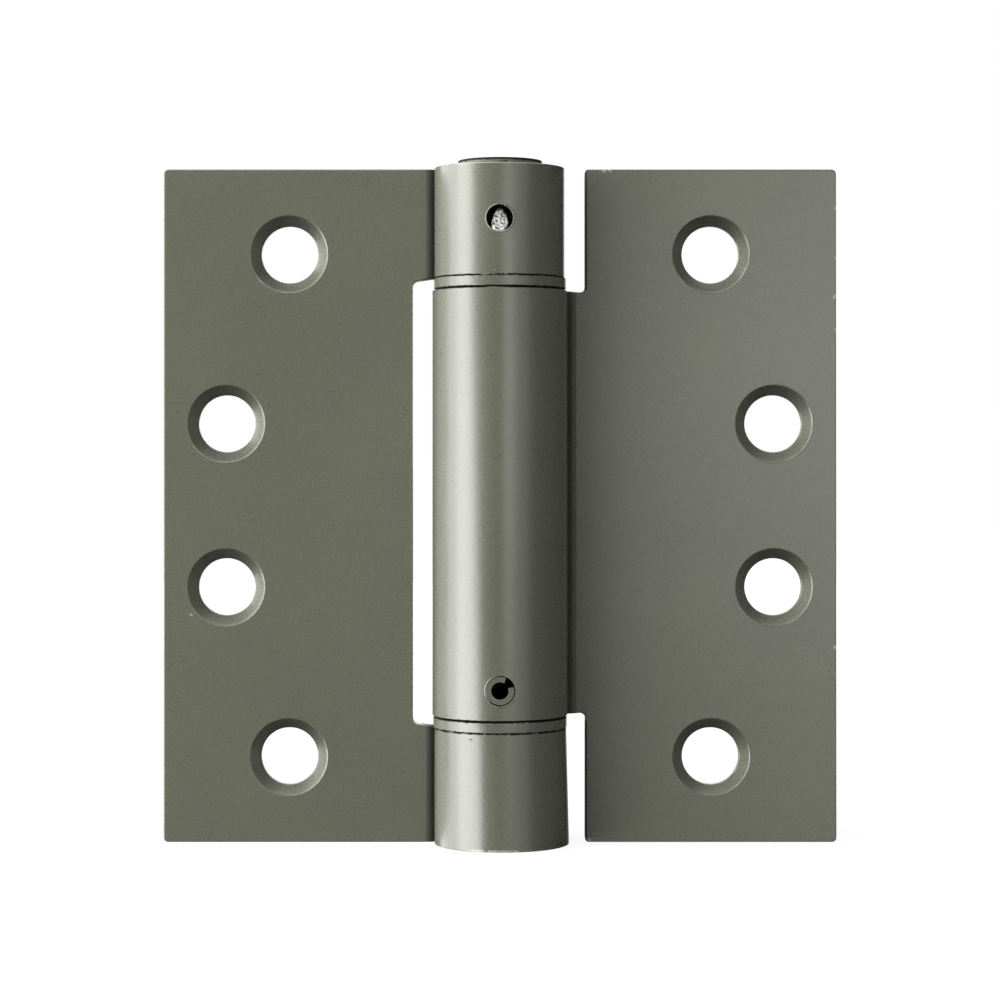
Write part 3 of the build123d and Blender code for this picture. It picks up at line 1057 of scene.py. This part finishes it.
def hole_lip(shape, middle_z, lip_radius, thickness, radius, start=0, span=360):
    """A bead around a hole in the front of the barrel, over a span of degrees."""
    whole = span == 360
    places = arc((0, middle_z), lip_radius, start, span, lip_steps if whole else lip_steps // 2)
    if whole:
        places.pop()
    bead(shape, [on_barrel(x, z, radius) for x, z in places], thickness, closed=whole)


def crumbs(shape, height, radius, draw, count, size):
    """Small lumps of paint along a joint."""
    for _ in range(count):
        start = draw.uniform(*crumb_places) * radius
        end = start + draw.uniform(*crumb_lengths)
        place = height + draw.uniform(-size, size)
        smear(shape, start, end, place, size * draw.uniform(*crumb_thickness), radius)


def screw_lips(shape, side):
    """The raised rims under a leaf's screw holes."""
    lip_radius = countersink_radius + screw_lip_gap
    sunk = leaf_setback + screw_lip_depth
    for place in screw_places(side):
        rim = arc(place, lip_radius, screw_lip_start, screw_lip_span, hole_steps)
        bead(shape, [(x, sunk, z) for x, z in rim], screw_lip_thickness)


def finish_paint(name, shape, body):
    """Makes a piece of the beads in a bmesh and fixes it to its body."""
    return finish_piece(from_bmesh(name, shape), body, [], [lit_bead_primer])


def frame_leaf_paint():
    """Beads on the frame leaf, its washers and around the tension pin's hole."""
    shape = bmesh.new()
    washer_top = lower_washer_start + washer_thickness
    sunk = barrel_radius - 0.05
    lower_spans = ((-10.4, -9.9), (-5.9, -5.4), (-2.7, -2.3), (1.2, 1.7), (6.0, 6.4))
    rows = (
        (((-3.3, -1.6), (0.6, 1.4)), upper_joint + 0.07, 0.11, sunk),
        (lower_spans, lower_joint - 0.09, 0.12, sunk + 0.06),
        (((2.2, 2.9), (3.2, 3.6), (3.9, 5.0)), washer_top - 0.05, 0.13, barrel_radius + 0.12),
        (((6.7, 7.2),), upper_washer_start + 0.06, 0.13, barrel_radius + 0.02),
        (((-2.9, -2.5),), upper_washer_start + 0.9, 0.1, barrel_radius + 0.05),
        (((-1.0, -0.5),), top_knuckle_start + 0.6, 0.2, barrel_radius - 0.08),
        (((-5.2, -4.5),), bottom_knuckle_end - 0.9, 0.14, barrel_radius - 0.02),
        (((0.7, 1.2),), pin_hole_z + 2.1, 0.2, barrel_radius),
    )
    smears(shape, rows)
    draw = Random(11)
    crumbs(shape, upper_joint + 0.08, sunk, draw, 8, 0.07)
    crumbs(shape, lower_joint, sunk, draw, 18, 0.08)
    hole_lip(shape, pin_hole_z, pin_hole_radius + 0.1, 0.13, barrel_radius - 0.02)
    screw_lips(shape, -1)
    return finish_paint("frame_leaf_paint_beads", shape, "frame_leaf")


def door_leaf_paint():
    """Beads on the door leaf and around the roll pin."""
    shape = bmesh.new()
    hole = roll_pin_radius + roll_pin_fit
    hole_lip(shape, pin_middle, hole - 0.05, 0.16, centre_radius - 0.1, 95, 137)
    hole_lip(shape, pin_middle, hole + 0.14, 0.14, centre_radius - 0.03, -140, 110)
    rows = (
        (((-2.4, 0.9),), centre_end - 0.04, 0.08, centre_radius - 0.03),
        (((3.5, 4.3),), centre_end - 0.9, 0.14, centre_radius - 0.06),
    )
    smears(shape, rows)
    screw_lips(shape, 1)
    return finish_paint("door_leaf_paint_beads", shape, "door_leaf")


def cap_paint():
    """The bead of paint on the front of the cap's rim."""
    shape = bmesh.new()
    smear(shape, -0.6, 1.2, cap_top - 0.45, 0.2, cap_head_radius + paint_film - 0.02)
    return finish_paint("tension_cap_paint_bead", shape, "tension_cap")


frame_leaf()
door_leaf()
thrust_washer("lower_thrust_washer", lower_washer_start)
thrust_washer("upper_thrust_washer", upper_washer_start)
tension_cap()
roll_pin()
frame_leaf_paint()
door_leaf_paint()
cap_paint()

# Inner pieces keep their solids and get their finish
for node, material in (
    ("lower_bush", bearing_plastic),
    ("upper_bush", bearing_plastic),
    ("bottom_plug", bare_steel),
    ("spring_anchor", greased_steel),
    ("torsion_spring", spring_steel),
):
    for slot in frame["nodes"][node].material_slots:
        slot.material = material


# Floor, light and camera
floor_half_width = 40.0
near_floor_glow = 0.86
glow_reach = (0.10, 0.75)  # metres from the origin, between which the floor turns white
room_light = 0.01
wall_from = (0.90, 0.98)  # Y of the directions that see the white wall
ceiling_from = (0.55, 0.85)  # and Z of those that see the white ceiling


def floor_material(name):
    """Pale floor that shows white to the camera and in reflections, and keeps the object's shadow."""
    material, shader, add = graph_of(name)
    shader.inputs["Base Color"].default_value = grey(0.3)
    shader.inputs["Roughness"].default_value = 0.9
    shader.inputs["Specular IOR Level"].default_value = 0.0
    path = add("LightPath").outputs
    seen = maths(add, "MAXIMUM", path["Is Camera Ray"], path["Is Glossy Ray"], path["Is Transmission Ray"])
    place = axes(add, add("NewGeometry").outputs["Position"])
    away = length(add, place["X"], place["Y"])
    level = stretch(add, away, *glow_reach, near_floor_glow, 1.0)
    glow = add("Emission", Strength=maths(add, "MULTIPLY", seen, level))
    both = add("AddShader")
    fill(both.inputs[0], shader.outputs["BSDF"])
    fill(both.inputs[1], glow.outputs["Emission"])
    output = next(node for node in material.node_tree.nodes if node.type == "OUTPUT_MATERIAL")
    fill(output.inputs["Surface"], both.outputs["Shader"])
    return material


def floor():
    """A wide pale floor under the hinge.

    It doesn't cut off the low light, because the hinge in the photo lay flat.
    """
    half = floor_half_width
    shape = bmesh.new()
    corners = [(-half, -half, 0), (half, -half, 0), (half, half, 0), (-half, half, 0)]
    shape.faces.new([shape.verts.new(corner) for corner in corners])
    ground = from_bmesh("floor", shape)
    ground.data.materials.append(floor_material("pale_floor"))
    ground.visible_glossy = False
    ground.visible_shadow = False


def soft_box(name, azimuths, elevations, radiance, distance=0.8):
    """A soft box that faces the hinge and fills a range of azimuths and elevations, in degrees.

    Both are seen from the hinge. Azimuth 0 is on the camera's side, and negative ones are to the left.
    """
    around, up = (radians(sum(angles) / 2) for angles in (azimuths, elevations))
    width, height = (2 * distance * tan(radians(high - low) / 2) for low, high in (azimuths, elevations))
    light = bpy.data.lights.new(name, "AREA")
    light.shape = "RECTANGLE"
    light.size = width
    light.size_y = height
    light.energy = radiance * width * height * pi
    box = bpy.data.objects.new(name, light)
    bpy.context.scene.collection.objects.link(box)
    target = Vector((0, 0, middle * MM))
    outward = Vector((sin(around) * cos(up), -cos(around) * cos(up), sin(up)))
    box.location = target + outward * distance
    box.rotation_euler = outward.to_track_quat("Z", "Y").to_euler()
    return box


def world(level):
    """White behind and above the object, and a plain dark room in front of it."""
    room = bpy.data.worlds.new("studio")
    bpy.context.scene.world = room
    room.use_nodes = True
    room.node_tree.nodes.clear()
    add = adder(room.node_tree)
    path = add("LightPath").outputs
    towards = axes(add, add("TexCoord").outputs["Generated"])
    behind = stretch(add, towards["Y"], *wall_from)
    above = stretch(add, towards["Z"], *ceiling_from)
    backdrop = maths(add, "MAXIMUM", behind, above)
    mirrored = maths(add, "MAXIMUM", path["Is Glossy Ray"], path["Is Transmission Ray"])
    seen = maths(add, "MAXIMUM", path["Is Camera Ray"], maths(add, "MULTIPLY", mirrored, backdrop))
    white = add("Background", Color=grey(1.0), Strength=1.0)
    dim = add("Background", Color=grey(1.0), Strength=level)
    mix = add("MixShader", Fac=seen)
    fill(mix.inputs[1], dim.outputs["Background"])
    fill(mix.inputs[2], white.outputs["Background"])
    add("OutputWorld", Surface=mix.outputs["Shader"])


def camera():
    """Camera straight in front, a little above the middle of the hinge."""
    lens = bpy.data.cameras.new("camera")
    lens.sensor_width = 36
    lens.lens = 95.3
    lens.shift_y = -0.0687
    lens.clip_start = 0.01
    eye = bpy.data.objects.new("camera", lens)
    bpy.context.scene.collection.objects.link(eye)
    eye.location = (0, -0.449, 0.067)
    eye.rotation_euler = (radians(90.35), 0, 0)
    bpy.context.scene.camera = eye


# Each soft box's name, azimuths, elevations and radiance
soft_boxes = (
    ("key", (-78, -42), (-6, 2), 7.3),
    ("key_upper", (-78, -49), (2, 24), 6.7),
    ("key_lower", (-78, -34), (-22, -6), 7.8),
    ("key_high", (-78, -42), (24, 50), 3.5),
    ("key_side", (-105, -78), (-20, 40), 4.0),
    ("key_back", (-127, -105), (-22, 30), 4.4),
    ("key_edge", (-42, -34), (-6, 8), 0.8),
    ("front_high", (-36, -4), (40, 56), 3.0),
    ("glint", (6, 25), (-6, 14), 2.0),
    ("glint_low", (6, 25), (-34, -6), 0.45),
    ("far", (25, 50), (-16, 30), 0.7),
    ("right", (50, 105), (-16, 40), 0.19),
    ("top", (150, 210), (60, 110), 0.55),
    ("rear", (160, 200), (0, 45), 1.2),
)

floor()
world(room_light)
for box_row in soft_boxes:
    soft_box(*box_row)
camera()
bpy.context.scene.view_settings.view_transform = "Standard"
